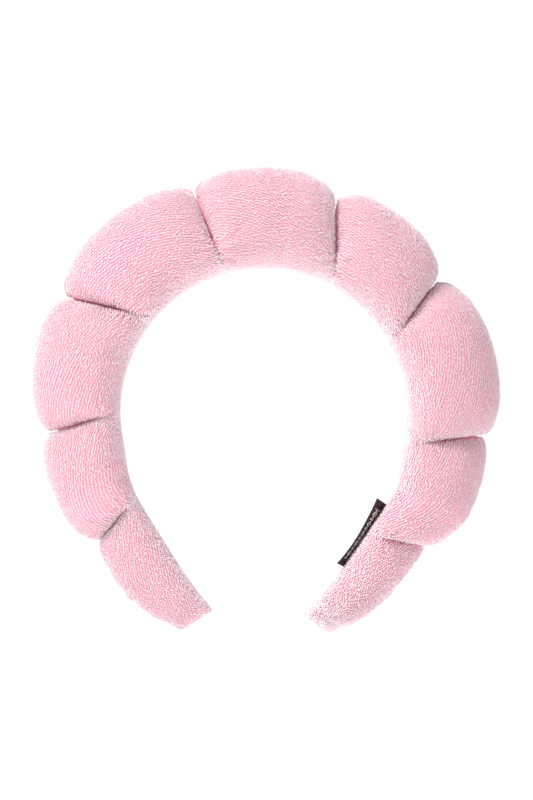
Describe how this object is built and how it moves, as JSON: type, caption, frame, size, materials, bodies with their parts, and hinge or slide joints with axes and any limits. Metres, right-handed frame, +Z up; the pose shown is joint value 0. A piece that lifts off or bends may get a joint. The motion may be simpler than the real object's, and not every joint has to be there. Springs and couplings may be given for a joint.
{
  "type": "spa headband",
  "caption": "Open arch headband of stuffed terry puffs tied at gathered grooves over a spring hoop, with tapering tails and a folded side label.",
  "frame": {"origin": "centre of the flat inner face of the crown puff, where the band rests on top of the head", "axes": "+Z up towards the crown of the worn band, X from ear to ear with +X on the side of the label, +Y from the face towards the back of the head"},
  "size_m": [0.1806, 0.0394, 0.1796],
  "materials": {
    "terry": "pastel pink cotton loop-pile terry",
    "stuffing": "off-white polyester fibre and sponge",
    "hoop_plastic": "natural white injection-moulded polypropylene",
    "thread": "pink spun polyester sewing thread",
    "label_tape": "black woven satin tape with a light geometric pattern"
  },
  "bodies": {
    "left_tip": {"left_tip_hoop": "hoop_plastic", "left_tip_stuffing": "stuffing", "left_tip_cover": "terry", "left_tip_tie": "thread", "left_end_gather": "terry"},
    "left_low": {"left_low_hoop": "hoop_plastic", "left_low_stuffing": "stuffing", "left_low_cover": "terry", "left_low_tie": "thread"},
    "left_mid": {"left_mid_hoop": "hoop_plastic", "left_mid_stuffing": "stuffing", "left_mid_cover": "terry", "left_mid_tie": "thread"},
    "left_top": {"left_top_hoop": "hoop_plastic", "left_top_stuffing": "stuffing", "left_top_cover": "terry", "left_top_tie": "thread"},
    "crown": {"crown_hoop": "hoop_plastic", "crown_stuffing": "stuffing", "crown_cover": "terry"},
    "right_top": {"right_top_hoop": "hoop_plastic", "right_top_stuffing": "stuffing", "right_top_cover": "terry", "right_top_tie": "thread"},
    "right_mid": {"right_mid_hoop": "hoop_plastic", "right_mid_stuffing": "stuffing", "right_mid_cover": "terry", "right_mid_tie": "thread"},
    "right_low": {"right_low_hoop": "hoop_plastic", "right_low_stuffing": "stuffing", "right_low_cover": "terry", "right_low_tie": "thread"},
    "right_tip": {"right_tip_hoop": "hoop_plastic", "right_tip_stuffing": "stuffing", "right_tip_cover": "terry", "right_tip_tie": "thread", "right_end_gather": "terry", "label_thread": "thread"},
    "label": {"side_label": "label_tape"}
  },
  "joints": [
    {"name": "left_arm_spread", "type": "hinge", "parent": "crown", "child": "left_top", "pos_m": [-0.01569, 0, 0.00159], "axis": [0, 1, 0], "range_deg": [-2.5, 9], "stiffness_Nm_per_rad": 3.4},
    {"name": "left_mid_flex", "type": "hinge", "parent": "left_top", "child": "left_mid", "pos_m": [-0.04514, 0, -0.01778], "axis": [0, 1, 0], "range_deg": [-2.1, 7.5], "stiffness_Nm_per_rad": 0.3},
    {"name": "left_low_flex", "type": "hinge", "parent": "left_mid", "child": "left_low", "pos_m": [-0.05809, 0, -0.05541], "axis": [0, 1, 0], "range_deg": [-1.7, 6], "stiffness_Nm_per_rad": 0.3},
    {"name": "left_tip_flex", "type": "hinge", "parent": "left_low", "child": "left_tip", "pos_m": [-0.05092, 0, -0.0893], "axis": [0, 1, 0], "range_deg": [-1.3, 4.5], "stiffness_Nm_per_rad": 0.3},
    {"name": "right_arm_spread", "type": "hinge", "parent": "crown", "child": "right_top", "pos_m": [0.02724, 0, -0.00304], "axis": [0, -1, 0], "range_deg": [-2.5, 9], "stiffness_Nm_per_rad": 3.4},
    {"name": "right_mid_flex", "type": "hinge", "parent": "right_top", "child": "right_mid", "pos_m": [0.05033, 0, -0.02533], "axis": [0, -1, 0], "range_deg": [-2.1, 7.5], "stiffness_Nm_per_rad": 0.3},
    {"name": "right_low_flex", "type": "hinge", "parent": "right_mid", "child": "right_low", "pos_m": [0.05733, 0, -0.06651], "axis": [0, -1, 0], "range_deg": [-1.7, 6], "stiffness_Nm_per_rad": 0.3},
    {"name": "right_tip_flex", "type": "hinge", "parent": "right_low", "child": "right_tip", "pos_m": [0.04231, 0, -0.10172], "axis": [0, -1, 0], "range_deg": [-1.3, 4.5], "stiffness_Nm_per_rad": 0.3},
    {"name": "label_flap", "type": "hinge", "parent": "right_tip", "child": "label", "pos_m": [0.03745, 0, -0.10084], "axis": [-0.5664, 0, -0.8241], "range_deg": [-15, 125], "stiffness_Nm_per_rad": 0.00002}
  ],
  "couplings": [
    {"joint": "left_mid_flex", "follows": "left_arm_spread", "ratio": 0.8333},
    {"joint": "left_low_flex", "follows": "left_arm_spread", "ratio": 0.6666},
    {"joint": "left_tip_flex", "follows": "left_arm_spread", "ratio": 0.5},
    {"joint": "right_mid_flex", "follows": "right_arm_spread", "ratio": 0.8333},
    {"joint": "right_low_flex", "follows": "right_arm_spread", "ratio": 0.6666},
    {"joint": "right_tip_flex", "follows": "right_arm_spread", "ratio": 0.5}
  ]
}
